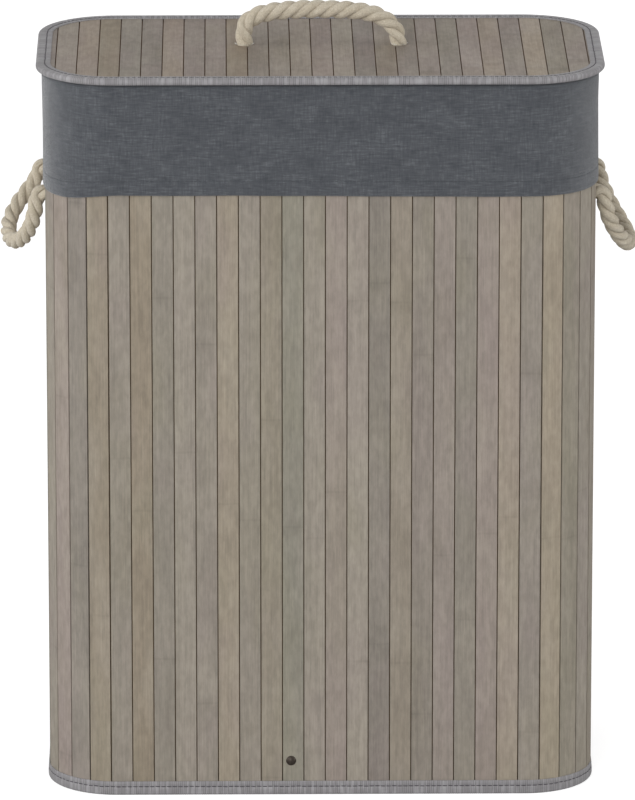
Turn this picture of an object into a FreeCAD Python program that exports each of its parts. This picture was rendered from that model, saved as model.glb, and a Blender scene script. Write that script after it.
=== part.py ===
"""Laundry hamper with a hinged lid: bamboo slats glued to cloth, bound with tape, a cloth liner
with a turned-down cuff, and three rope handles. Millimetres. The origin is on the floor under the
middle of the hamper, +Z is up, the front faces -Y and the width runs along X."""

import FreeCAD, Part
import math
import os

from FreeCAD import Vector

OUT = "parts"

# Driving dimensions of the hamper body, over the faces of its slats.
BODY_W = 454.0
BODY_D = 222.0
BODY_R = 57.0          # corner radius of the slat faces
LID_TOP = 615.0        # top face of the lid's binding
LID_OVERHANG = 7.0

# Bamboo slats.
SLAT_T = 1.8
SLAT_GAP = 0.85
WALL_SLATS = 70        # all the way round
FRONT_GAP_X = 3.5      # a gap between two slats of the front wall
LID_SLATS = 27
LID_PITCH = 17.55
LID_GAP_X = -7.2       # a gap between two slats of the lid

# Cloth, tape and board.
TAPE_T = 0.8
TAPE_LEG = 11.8        # how far the binding reaches over a face
CLOTH_T = 0.6
LINER_T = 0.9
LINING_T = 0.4
LID_BOARD_T = 1.6
CORNER_PROUD = 0.65    # a flat slat's edges stand this far outside a round corner
LID_GAP = 0.8          # from the top of the cuff to the lid
CUFF_DROP = 99.0       # hem of the cuff below the lid's top

# Rope.
ROPE_D = 13.0
ROPE_HOLE_D = 13.6
KNOT_R = 11.5
KNOT_CLEAR = 0.1       # between a knot and the cloth or tape that it bears on
HANDLE_Z = 502.0       # the side holes, below the hem of the cuff
HANDLE_Y = 45.0        # half the distance between the two holes of a side
HANDLE_X = 233.8       # where a side rope starts to swing
SIDE_STUB = -0.1       # a side knot's stub ends this far outside the slats
LID_STUB = 0.4         # and a lid knot's this far above them
LID_HANDLE_Y = 12.0    # the lid's holes are a little behind its middle
LID_HANDLE_Z = LID_TOP + 6.5
END_SHRINK = 0.1       # a ball on a rope's end is this much smaller than the rope

# Route points of each rope, from one hole to the other, chosen by hand.
LEFT_ROUTE = [
    (-233.8, -45.0, 502.0), (-235.4, -45.5, 489.0), (-238.5, -41.0, 475.0), (-245.0, -30.0, 460.5),
    (-253.5, -12.0, 451.5), (-259.0, 8.0, 451.0), (-260.0, 26.0, 458.5), (-254.0, 38.0, 470.0),
    (-243.0, 45.0, 483.0), (-235.5, 46.0, 493.5), (-233.8, 45.0, 502.0),
]
RIGHT_ROUTE = [
    (233.8, -45.0, 502.0), (236.0, -45.5, 490.0), (240.5, -41.0, 475.0), (248.5, -30.0, 460.0),
    (255.5, -12.0, 449.0), (259.0, 8.0, 445.5), (258.0, 25.0, 449.0), (250.5, 38.0, 460.0),
    (242.0, 45.0, 474.0), (236.0, 46.0, 489.0), (233.8, 45.0, 502.0),
]
LID_ROUTE = [
    (-62.3, 12.0, 621.5), (-62.5, 12.0, 631.0), (-53.0, 12.0, 639.0), (-34.5, 12.0, 642.7),
    (-8.5, 12.0, 644.3), (20.5, 12.0, 643.6), (43.5, 12.0, 640.9), (58.5, 12.0, 633.5),
    (66.3, 12.0, 621.5),
]
ARC_SHARE = 0.45       # an arc takes this share of the shorter of its two runs

# Fasteners.
RIVET_X = -25.0
RIVET_Z = 29.5
RIVET_HEAD_D = 8.4
RIVET_HEAD_H = 2.2
RIVET_SHANK_D = 3.0
PEEN_D = 5.0
PEEN_H = 0.8
WASHER_D = 9.0
WASHER_T = 0.8

# Levels worked out from the above, from the top down.
LID_SLAT_TOP = LID_TOP - TAPE_T
LID_SLAT_Z = LID_SLAT_TOP - SLAT_T
LID_BOARD_Z = LID_SLAT_Z - LID_BOARD_T
LID_LINING_Z = LID_BOARD_Z - LINING_T
LID_Z = LID_LINING_Z - TAPE_T              # underside of the lid
CUFF_TOP = LID_Z - LID_GAP
WALL_TOP = CUFF_TOP - LINER_T              # top of the wall's binding
SLAT_TOP = WALL_TOP - TAPE_T
SLAT_Z = TAPE_T                            # the slats stand in the bottom binding
CUFF_HEM = LID_TOP - CUFF_DROP

# Offsets from the faces of the slats, outwards positive.
SLAT_IN = -SLAT_T
CLOTH_IN = SLAT_IN - CLOTH_T
BIND_OUT = CORNER_PROUD + TAPE_T
BIND_IN = CLOTH_IN - TAPE_T
CUFF_OUT = BIND_OUT + LINER_T
CUFF_IN = BIND_IN - LINER_T


# ---------------------------------------------------------------- shapes


class Outline:
    """A rounded rectangle round the Z axis: half width, half depth and corner radius."""

    def __init__(self, half_x, half_y, radius):
        self.half_x, self.half_y, self.radius = half_x, half_y, radius

    def offset(self, d):
        return Outline(self.half_x + d, self.half_y + d, self.radius + d)

    def wire(self, z):
        x, y, r = self.half_x, self.half_y, self.radius
        corners = [(x - r, y - r, 0), (r - x, y - r, 90), (r - x, r - y, 180), (x - r, r - y, 270)]
        edges = []
        last = None
        for cx, cy, start in corners:
            angles = [math.radians(start + turn) for turn in (0, 45, 90)]
            arc = [Vector(cx + r * math.cos(a), cy + r * math.sin(a), z) for a in angles]
            if last is not None:
                edges.append(Part.LineSegment(last, arc[0]).toShape())
            else:
                first = arc[0]
            edges.append(Part.Arc(*arc).toShape())
            last = arc[2]
        edges.append(Part.LineSegment(last, first).toShape())
        return Part.Wire(edges)

    def plate(self, z0, z1):
        return Part.Face(self.wire(z0)).extrude(Vector(0, 0, z1 - z0))

    def band(self, outer, inner, z0, z1):
        """A ring between two offsets of this outline."""
        return self.offset(outer).plate(z0, z1).cut(self.offset(inner).plate(z0, z1))


BODY = Outline(BODY_W / 2, BODY_D / 2, BODY_R)
LID = BODY.offset(LID_OVERHANG)


def box(low, high):
    size = [b - a for a, b in zip(low, high)]
    return Part.makeBox(*size, Vector(*low))


def rod(diameter, start, end):
    start, end = Vector(*start), Vector(*end)
    axis = end.sub(start)
    return Part.makeCylinder(diameter / 2, axis.Length, start, axis)


def ball(radius, centre):
    return Part.makeSphere(radius, Vector(*centre))


def cut_all(shape, tools):
    """Cuts only with the tools whose boxes reach the shape."""
    for tool in tools:
        if shape.BoundBox.intersect(tool.BoundBox):
            shape = shape.cut(tool)
    return shape


def side_holes(sign):
    """The two rope holes of one side wall."""
    return [
        rod(ROPE_HOLE_D, (sign * 200, y, HANDLE_Z), (sign * 240, y, HANDLE_Z))
        for y in (-HANDLE_Y, HANDLE_Y)
    ]


def rivet_hole():
    return rod(RIVET_SHANK_D, (RIVET_X, -BODY_D / 2 - 5, RIVET_Z), (RIVET_X, -BODY_D / 2 + 10, RIVET_Z))


WALL_HOLES = side_holes(-1) + side_holes(1) + [rivet_hole()]


# ---------------------------------------------------------------- walls


def wall_station(s, line):
    """Stretch, point and heading at distance s along an outline.

    The distance starts at the middle of the front and runs to the right."""
    half_x, half_y, r = line.half_x, line.half_y, line.radius
    flat_x, flat_y, bend = half_x - r, half_y - r, r * math.pi / 2
    stretches = [
        ("front_wall", flat_x, (0, -half_y), 0),
        ("front_right_corner", bend, (flat_x, -flat_y), 0),
        ("right_wall", 2 * flat_y, (half_x, -flat_y), 90),
        ("rear_right_corner", bend, (flat_x, flat_y), 90),
        ("rear_wall", 2 * flat_x, (flat_x, half_y), 180),
        ("rear_left_corner", bend, (-flat_x, flat_y), 180),
        ("left_wall", 2 * flat_y, (-half_x, flat_y), 270),
        ("front_left_corner", bend, (-flat_x, -flat_y), 270),
        ("front_wall", flat_x, (-flat_x, -half_y), 0),
    ]
    for name, length, (x, y), heading in stretches:
        if s > length:
            s -= length
            continue
        if name.endswith("corner"):
            heading += math.degrees(s / r)
            a = math.radians(heading - 90)
            return name, x + r * math.cos(a), y + r * math.sin(a), heading
        a = math.radians(heading)
        return name, x + s * math.cos(a), y + s * math.sin(a), heading
    raise ValueError("past the end of the outline")


def wall_slats():
    """Every slat of the wall, grouped by the stretch of wall that it stands in."""
    line = BODY.offset(-SLAT_T / 2)
    around = 4 * (line.half_x + line.half_y - 2 * line.radius) + 2 * math.pi * line.radius
    pitch = around / WALL_SLATS
    width = pitch - SLAT_GAP
    groups = {}
    for k in range(WALL_SLATS):
        name, x, y, heading = wall_station(FRONT_GAP_X + (k + 0.5) * pitch, line)
        slat = box((-width / 2, -SLAT_T / 2, SLAT_Z), (width / 2, SLAT_T / 2, SLAT_TOP))
        slat.rotate(Vector(0, 0, 0), Vector(0, 0, 1), heading)
        slat.translate(Vector(x, y, 0))
        groups.setdefault(name + "_slats", []).append(cut_all(slat, WALL_HOLES))
    print("wall slat pitch %.3f width %.3f" % (pitch, width))
    return {name: Part.makeCompound(slats) for name, slats in groups.items()}


def wall_backing_cloth():
    return cut_all(BODY.band(SLAT_IN, CLOTH_IN, SLAT_Z, SLAT_TOP), WALL_HOLES)


def wall_seam_tape():
    """A tape inside the rear wall, over the seam where the two ends of the slat mat meet."""
    seam_x, half_width = 5.9, 15.0
    low_z, high_z = 41.0, WALL_TOP - TAPE_LEG - 1.0
    face = BODY_D / 2 + CLOTH_IN
    return box((seam_x - half_width, face - CLOTH_T, low_z), (seam_x + half_width, face, high_z))


def bottom_binding():
    """Tape folded round the bottom edge of the wall."""
    whole = BODY.band(BIND_OUT, BIND_IN, 0, TAPE_LEG)
    return whole.cut(BODY.band(CORNER_PROUD, CLOTH_IN, SLAT_Z, TAPE_LEG))


def top_binding():
    whole = BODY.band(BIND_OUT, BIND_IN, WALL_TOP - TAPE_LEG, WALL_TOP)
    return whole.cut(BODY.band(CORNER_PROUD, CLOTH_IN, WALL_TOP - TAPE_LEG, SLAT_TOP))


# ---------------------------------------------------------------- base

BASE_Z = 3.0
BASE_BOARD_T = 3.2
BASE_COVER_OUT = -3.5      # offset of the covered base from the slat faces
BASE_TOP = BASE_Z + BASE_BOARD_T + CLOTH_T
STRAP_T = 1.2
STRAP_W = 25.0
STRAP_TOP = 52.0
STRAP_REACH = 66.0         # along the base, from the front wall
BASE_RIVET_Y = -60.0


def base_holes():
    return [rod(RIVET_SHANK_D, (RIVET_X, BASE_RIVET_Y, 0), (RIVET_X, BASE_RIVET_Y, 20))]


def base_board():
    line = BODY.offset(BASE_COVER_OUT - CLOTH_T)
    return cut_all(line.plate(BASE_Z, BASE_Z + BASE_BOARD_T), base_holes())


def base_cover_cloth():
    """Cloth over the top and the edges of the base board."""
    line = BODY.offset(BASE_COVER_OUT)
    inside = line.offset(-CLOTH_T).plate(BASE_Z, BASE_Z + BASE_BOARD_T)
    return cut_all(line.plate(BASE_Z, BASE_TOP).cut(inside), base_holes())


def base_hinge_tape():
    """Tape that joins the base to the foot of the rear wall."""
    half_x, height, reach = 165.0, 40.0, 26.0
    face = BODY_D / 2 + BIND_IN
    upright = box((-half_x, face - CLOTH_T, BASE_TOP), (half_x, face, height))
    flat = box((-half_x, face - reach, BASE_TOP), (half_x, face, BASE_TOP + CLOTH_T))
    return upright.fuse(flat).removeSplitter()


def base_strap():
    """Webbing that pulls the base up to fold it, and holds it down to the front wall."""
    x0, x1 = RIVET_X - STRAP_W / 2, RIVET_X + STRAP_W / 2
    face = -BODY_D / 2 - BIND_IN
    upright = box((x0, face, BASE_TOP), (x1, face + STRAP_T, STRAP_TOP))
    flat = box((x0, face, BASE_TOP), (x1, face + STRAP_REACH, BASE_TOP + STRAP_T))
    return cut_all(upright.fuse(flat).removeSplitter(), base_holes() + [rivet_hole()])


def dome(diameter, height):
    """A rivet head standing on the plane z = 0."""
    radius = (diameter * diameter / 4 + height * height) / (2 * height)
    whole = ball(radius, (0, 0, height - radius))
    half = diameter
    return whole.common(box((-half, -half, 0), (half, half, half)))


def rivet(grip):
    """A rivet along -Z with its head above z = 0 and its peened end past the grip."""
    shank = rod(RIVET_SHANK_D, (0, 0, 0.5), (0, 0, -grip - PEEN_H / 2))
    peen = rod(PEEN_D, (0, 0, -grip), (0, 0, -grip - PEEN_H))
    return dome(RIVET_HEAD_D, RIVET_HEAD_H).fuse([shank, peen]).removeSplitter()


def wall_rivet():
    """Low on the front: through slat, cloth, strap and washer."""
    inner = -BODY_D / 2 - BIND_IN + STRAP_T + WASHER_T
    shape = rivet(inner + BODY_D / 2)
    shape.rotate(Vector(0, 0, 0), Vector(1, 0, 0), 90)
    shape.translate(Vector(RIVET_X, -BODY_D / 2, RIVET_Z))
    return shape


def wall_rivet_washer():
    y0 = -BODY_D / 2 - BIND_IN + STRAP_T
    disc = rod(WASHER_D, (RIVET_X, y0, RIVET_Z), (RIVET_X, y0 + WASHER_T, RIVET_Z))
    return disc.cut(rivet_hole())


def base_rivet():
    top = BASE_TOP + STRAP_T
    shape = rivet(top - BASE_Z)
    shape.translate(Vector(RIVET_X, BASE_RIVET_Y, top))
    return shape


# ---------------------------------------------------------------- liner

BAG_TOP = 590.0
BAG_WAIST_Z = 522.0        # the bag is drawn in below this, clear of the side knots
BAG_FLOOR_Z = 12.0
BAG_SECTIONS = [
    (BAG_FLOOR_Z + LINER_T, Outline(197.0, 104.0, 50.0)),
    (BAG_WAIST_Z, Outline(200.0, 106.0, 52.0)),
    (BAG_TOP, BODY.offset(BIND_IN)),
]


def bag_loft(offset):
    wires = [line.offset(offset).wire(z) for z, line in BAG_SECTIONS]
    return Part.makeLoft(wires, True, True)


def liner_bag_walls():
    return bag_loft(0).cut(bag_loft(-LINER_T))


def liner_bag_floor():
    return BAG_SECTIONS[0][1].plate(BAG_FLOOR_Z, BAG_FLOOR_Z + LINER_T)


def liner_cuff():
    """The top of the liner, turned over the rim and down outside the wall."""
    whole = BODY.band(CUFF_OUT, CUFF_IN, CUFF_HEM, CUFF_TOP)
    over_wall = BODY.band(BIND_OUT, BIND_IN, CUFF_HEM, WALL_TOP)
    below_bag = BODY.band(BIND_IN, CUFF_IN, CUFF_HEM, BAG_TOP)
    return whole.cut(over_wall).cut(below_bag)


PATCH_X = (-85.0, 60.0)
PATCH_W = 25.0
PATCH_Z = (562.0, 582.0)
HOOK_T = 0.7


def patches(inner, outer):
    """Hook-and-loop patches on the front and the rear wall, between two offsets from the slats."""
    shapes = []
    for sign in (-1, 1):
        ys = sorted((sign * (BODY_D / 2 + inner), sign * (BODY_D / 2 + outer)))
        for x in PATCH_X:
            shapes.append(box((x, ys[0], PATCH_Z[0]), (x + PATCH_W, ys[1], PATCH_Z[1])))
    return Part.makeCompound(shapes)


# ---------------------------------------------------------------- ropes


def rope_path(points):
    """Straight runs joined by tangent arcs. Returns the wire and the arcs' radii."""
    points = [Vector(*p) for p in points]
    edges, radii = [], []
    last = points[0]
    for before, corner, after in zip(points, points[1:], points[2:]):
        into, out = corner.sub(before), after.sub(corner)
        half_turn = into.getAngle(out) / 2
        reach = ARC_SHARE * min(into.Length, out.Length)
        radius = reach / math.tan(half_turn)
        into.normalize()
        out.normalize()
        start, end = corner.sub(into * reach), corner.add(out * reach)
        inward = out.sub(into)
        inward.normalize()
        middle = corner.add(inward * (radius / math.cos(half_turn) - radius))
        edges.append(Part.LineSegment(last, start).toShape())
        edges.append(Part.Arc(start, middle, end).toShape())
        radii.append(radius)
        last = end
    edges.append(Part.LineSegment(last, points[-1]).toShape())
    return Part.Wire(edges), radii


def rope(name, route):
    """A rope of its real length, with a ball on each end so that it can swing in its holes."""
    path, radii = rope_path(route)
    start, towards = Vector(*route[0]), Vector(*route[1]).sub(Vector(*route[0]))
    section = Part.Wire(Part.Circle(start, towards, ROPE_D / 2).toShape())
    tube = path.makePipeShell([section], True, False)
    expected = math.pi * ROPE_D * ROPE_D / 4 * path.Length
    print("%s: length %.1f, volume %.0f against %.0f" % (name, path.Length, tube.Volume, expected))
    print("   radii " + " ".join("%.1f" % r for r in radii))
    radius = ROPE_D / 2 - END_SHRINK
    return tube.fuse([ball(radius, route[0]), ball(radius, route[-1])])


def knot(reach):
    """A knot round the origin with a stub of rope that reaches this far along +X, turned in one piece."""
    half = ROPE_D / 2
    neck = math.sqrt(KNOT_R * KNOT_R - half * half)
    back, side, front = Vector(-KNOT_R, 0, 0), Vector(0, KNOT_R, 0), Vector(neck, half, 0)
    edges = [
        Part.Arc(back, side, front).toShape(),
        Part.LineSegment(front, Vector(reach, half, 0)).toShape(),
        Part.LineSegment(Vector(reach, half, 0), Vector(reach, 0, 0)).toShape(),
        Part.LineSegment(Vector(reach, 0, 0), back).toShape(),
    ]
    return Part.Face(Part.Wire(edges)).revolve(Vector(0, 0, 0), Vector(1, 0, 0), 360)


def side_knots(sign):
    """Knots inside a side wall, each with the stub of rope that fills its hole."""
    centre = BODY_W / 2 + CLOTH_IN - KNOT_R - KNOT_CLEAR
    shapes = []
    for y in (-HANDLE_Y, HANDLE_Y):
        shape = knot(BODY_W / 2 + SIDE_STUB - centre)
        shape.rotate(Vector(0, 0, 0), Vector(0, 0, 1), 0 if sign > 0 else 180)
        shape.translate(Vector(sign * centre, y, HANDLE_Z))
        shapes.append(shape)
    return Part.makeCompound(shapes)


def lid_hole_xs():
    return LID_ROUTE[0][0], LID_ROUTE[-1][0]


def lid_knots():
    centre = LID_Z - KNOT_R - KNOT_CLEAR
    shapes = []
    for x in lid_hole_xs():
        shape = knot(LID_SLAT_TOP + LID_STUB - centre)
        shape.rotate(Vector(0, 0, 0), Vector(0, 1, 0), -90)
        shape.translate(Vector(x, LID_HANDLE_Y, centre))
        shapes.append(shape)
    return Part.makeCompound(shapes)


# ---------------------------------------------------------------- lid

HINGE_Y = BODY_D / 2 + 3.6     # the hinge line, behind the rear wall
HINGE_HALF_X = 165.0
HINGE_TAPE_T = 0.5
LEAF_T = 0.6


def lid_holes():
    return [rod(ROPE_HOLE_D, (x, LID_HANDLE_Y, LID_Z), (x, LID_HANDLE_Y, LID_TOP)) for x in lid_hole_xs()]


def lid_slats():
    """Slats from front to back, trimmed to the lid's round corners."""
    trim = LID.offset(-TAPE_T).plate(LID_SLAT_Z, LID_SLAT_TOP)
    first = LID_GAP_X - 12 * LID_PITCH
    edges = [-LID.half_x] + [first + k * LID_PITCH for k in range(LID_SLATS - 1)] + [LID.half_x]
    shapes = []
    for left, right in zip(edges, edges[1:]):
        low = (left + SLAT_GAP / 2, -LID.half_y, LID_SLAT_Z)
        high = (right - SLAT_GAP / 2, LID.half_y, LID_SLAT_TOP)
        shapes.append(cut_all(box(low, high).common(trim), lid_holes()))
    return Part.makeCompound([s.Solids[0] for s in shapes])


def lid_board():
    return cut_all(LID.offset(-TAPE_T).plate(LID_BOARD_Z, LID_SLAT_Z), lid_holes())


def lid_lining_cloth():
    return cut_all(LID.offset(-TAPE_T).plate(LID_LINING_Z, LID_BOARD_Z), lid_holes())


def lid_binding():
    """Tape folded round the edge of the lid."""
    whole = LID.band(0, -TAPE_LEG, LID_Z, LID_TOP)
    return whole.cut(LID.band(-TAPE_T, -TAPE_LEG, LID_LINING_Z, LID_SLAT_TOP))


def lid_hinge_tape_upper():
    """The leaf of the fabric hinge that is sewn under the lid."""
    y0, y1 = BODY_D / 2 - 19.0, HINGE_Y - 0.2
    return box((-HINGE_HALF_X, y0, LID_Z - HINGE_TAPE_T), (HINGE_HALF_X, y1, LID_Z))


def lid_hinge_tape_lower():
    """The leaf of the fabric hinge that is sewn to the rear wall, outside the cuff."""
    face = BODY_D / 2 + CUFF_OUT
    return box((-HINGE_HALF_X, face, CUFF_TOP - 34.0), (HINGE_HALF_X, face + LEAF_T, CUFF_TOP))


# ---------------------------------------------------------------- all


def nodes():
    shapes = wall_slats()
    shapes.update({
        "wall_backing_cloth": wall_backing_cloth(),
        "wall_seam_tape": wall_seam_tape(),
        "bottom_binding": bottom_binding(),
        "top_binding": top_binding(),
        "base_board": base_board(),
        "base_cover_cloth": base_cover_cloth(),
        "base_hinge_tape": base_hinge_tape(),
        "base_strap": base_strap(),
        "wall_rivet": wall_rivet(),
        "wall_rivet_washer": wall_rivet_washer(),
        "base_rivet": base_rivet(),
        "liner_bag_walls": liner_bag_walls(),
        "liner_bag_floor": liner_bag_floor(),
        "liner_cuff": liner_cuff(),
        "liner_hook_patches": patches(0, HOOK_T),
        "liner_loop_patches": patches(HOOK_T, BIND_OUT),
        "left_rope_knots": side_knots(-1),
        "right_rope_knots": side_knots(1),
        "left_handle_rope": rope("left_handle_rope", LEFT_ROUTE),
        "right_handle_rope": rope("right_handle_rope", RIGHT_ROUTE),
        "lid_slats": lid_slats(),
        "lid_board": lid_board(),
        "lid_lining_cloth": lid_lining_cloth(),
        "lid_binding": lid_binding(),
        "lid_rope_knots": lid_knots(),
        "lid_hinge_tape_upper": lid_hinge_tape_upper(),
        "lid_hinge_tape_lower": lid_hinge_tape_lower(),
        "lid_handle_rope": rope("lid_handle_rope", LID_ROUTE),
    })
    return shapes


os.makedirs(OUT, exist_ok=True)
for node, shape in sorted(nodes().items()):
    if not shape.isValid():
        raise RuntimeError(node + " is not a valid shape")
    b = shape.BoundBox
    print(
        "%-26s solids %3d  volume %9.0f  x %.1f..%.1f y %.1f..%.1f z %.1f..%.1f"
        % (node, len(shape.Solids), shape.Volume, b.XMin, b.XMax, b.YMin, b.YMax, b.ZMin, b.ZMax)
    )
    shape.exportStep(os.path.join(OUT, node + ".step"))
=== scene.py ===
"""Looks of the laundry hamper: bamboo slats, bound edges, a cloth liner with a cuff, and rope handles.

Metres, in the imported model's frame: the floor is z = 0, the front faces -Y and the width runs along X."""

import math
import random

import bmesh
import bpy
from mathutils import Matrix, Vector
from mathutils import noise as field


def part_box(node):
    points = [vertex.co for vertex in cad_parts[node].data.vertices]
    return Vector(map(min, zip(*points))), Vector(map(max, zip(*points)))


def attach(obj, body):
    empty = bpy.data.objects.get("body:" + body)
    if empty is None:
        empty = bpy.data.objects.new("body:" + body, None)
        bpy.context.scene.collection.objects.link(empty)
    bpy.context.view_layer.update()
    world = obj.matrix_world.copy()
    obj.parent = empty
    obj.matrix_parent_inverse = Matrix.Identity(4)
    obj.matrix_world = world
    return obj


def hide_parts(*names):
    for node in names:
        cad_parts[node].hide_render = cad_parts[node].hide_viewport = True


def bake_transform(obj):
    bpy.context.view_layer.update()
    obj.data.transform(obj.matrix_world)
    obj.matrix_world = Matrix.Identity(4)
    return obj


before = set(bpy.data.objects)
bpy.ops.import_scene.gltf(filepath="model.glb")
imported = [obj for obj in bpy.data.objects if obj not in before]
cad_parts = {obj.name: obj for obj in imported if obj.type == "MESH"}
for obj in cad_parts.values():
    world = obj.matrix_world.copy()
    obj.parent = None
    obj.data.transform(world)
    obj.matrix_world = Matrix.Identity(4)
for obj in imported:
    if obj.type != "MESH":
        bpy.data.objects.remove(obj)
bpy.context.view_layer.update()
MM = 0.001

# Places and sizes read from the frame.
HALF_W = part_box("right_wall_slats")[1].x
HALF_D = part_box("rear_wall_slats")[1].y
CORNER_R = 57 * MM
SLAT_LOW, SLAT_TOP = (corner.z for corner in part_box("front_wall_slats"))
SLAT_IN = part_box("rear_wall_slats")[0].y - HALF_D
CLOTH_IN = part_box("wall_backing_cloth")[1].y - HALF_D
BIND_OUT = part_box("bottom_binding")[1].y - HALF_D
BOTTOM_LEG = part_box("bottom_binding")[1].z
TOP_LEG, WALL_TOP = (corner.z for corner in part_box("top_binding"))
HEM_Z, CUFF_TOP = (corner.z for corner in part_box("liner_cuff"))
CUFF_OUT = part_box("liner_cuff")[1].y - HALF_D
BAG_FLOOR_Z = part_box("liner_bag_floor")[0].z
BAG_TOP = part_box("liner_bag_walls")[1].z
LID_LOW, LID_TOP = (corner.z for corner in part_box("lid_binding"))
LID_HALF_W, LID_HALF_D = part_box("lid_binding")[1].xy
LID_SLAT_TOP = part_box("lid_slats")[1].z
LINING_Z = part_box("lid_lining_cloth")[0].z

# Slats, laid out as in the part.
WALL_SLATS = 70                         # all the way round
WALL_MIDDLE = (226.1 * MM, 110.1 * MM)  # half sizes of the line through the middle of the wall's slats
WALL_ROUND = 56.1 * MM                  # and its corner radius
WALL_GAP_X = 3.5 * MM                   # a gap of the front wall
LID_PITCH = 17.55 * MM
LID_GAP_X = -7.2 * MM                   # a gap of the lid

# Cloth, tape and thread.
TAPE_T = 0.8 * MM
TAPE_LEG = 11.8 * MM
CLOTH_T = 0.6 * MM
LINER_T = 0.9 * MM
RIB_PITCH = 1.6 * MM
RIB_H = 0.13 * MM
STITCH_FROM_EDGE = 4.4 * MM
STITCH_PITCH = 4.7 * MM
STITCH_LONG = 4.0 * MM
STITCH_THICK = 0.75 * MM
STITCH_WANDER = 0.2 * MM
HINGE_STITCHES = 78    # in each row of the lid's hinge
HINGE_PITCH = 4.13 * MM

# Rope, and the route of each one from hole to hole, listed point by point.
ROPE_R = 6.5 * MM
ROPE_LAY = 36 * MM
ROPE_STEP = 0.75 * MM
HAIRS = 900            # of loose fibres on a rope
HAIR_REACH = 3.2 * MM
KNOT_X = 0.213         # middle of a side rope's knots
LID_KNOT_Z = 0.598     # middle of the lid rope's knots
FRAYED_FIBRES = 26     # at each hole of the lid
LEFT_ROUTE = [
    (-0.213, -0.045, 0.502), (-0.228, -0.045, 0.502),
    (-0.2338, -0.045, 0.502), (-0.2354, -0.0455, 0.489), (-0.2385, -0.041, 0.475),
    (-0.245, -0.030, 0.4605), (-0.2535, -0.012, 0.4515), (-0.259, 0.008, 0.451),
    (-0.260, 0.026, 0.4585), (-0.254, 0.038, 0.470), (-0.243, 0.045, 0.483),
    (-0.2355, 0.046, 0.4935), (-0.2338, 0.045, 0.502),
    (-0.228, 0.045, 0.502), (-0.213, 0.045, 0.502),
]
RIGHT_ROUTE = [
    (0.213, -0.045, 0.502), (0.228, -0.045, 0.502),
    (0.2338, -0.045, 0.502), (0.236, -0.0455, 0.490), (0.2405, -0.041, 0.475),
    (0.2485, -0.030, 0.460), (0.2555, -0.012, 0.449), (0.259, 0.008, 0.4455),
    (0.258, 0.025, 0.449), (0.2505, 0.038, 0.460), (0.242, 0.045, 0.474),
    (0.236, 0.046, 0.489), (0.2338, 0.045, 0.502),
    (0.228, 0.045, 0.502), (0.213, 0.045, 0.502),
]
LID_ROUTE = [
    (-0.0623, 0.012, 0.604),
    (-0.0623, 0.012, 0.6215), (-0.0625, 0.012, 0.631), (-0.053, 0.012, 0.639),
    (-0.0345, 0.012, 0.6427), (-0.0085, 0.012, 0.6443), (0.0205, 0.012, 0.6436),
    (0.0435, 0.012, 0.6409), (0.0585, 0.012, 0.6335), (0.0663, 0.012, 0.6215),
    (0.0663, 0.012, 0.604),
]


# ======== materials


def rgb(red, green, blue):
    """A colour given as 0 to 255 display values, in linear light."""
    def linear(value):
        value /= 255
        return value / 12.92 if value <= 0.04045 else ((value + 0.055) / 1.055) ** 2.4
    return linear(red), linear(green), linear(blue), 1.0


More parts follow.
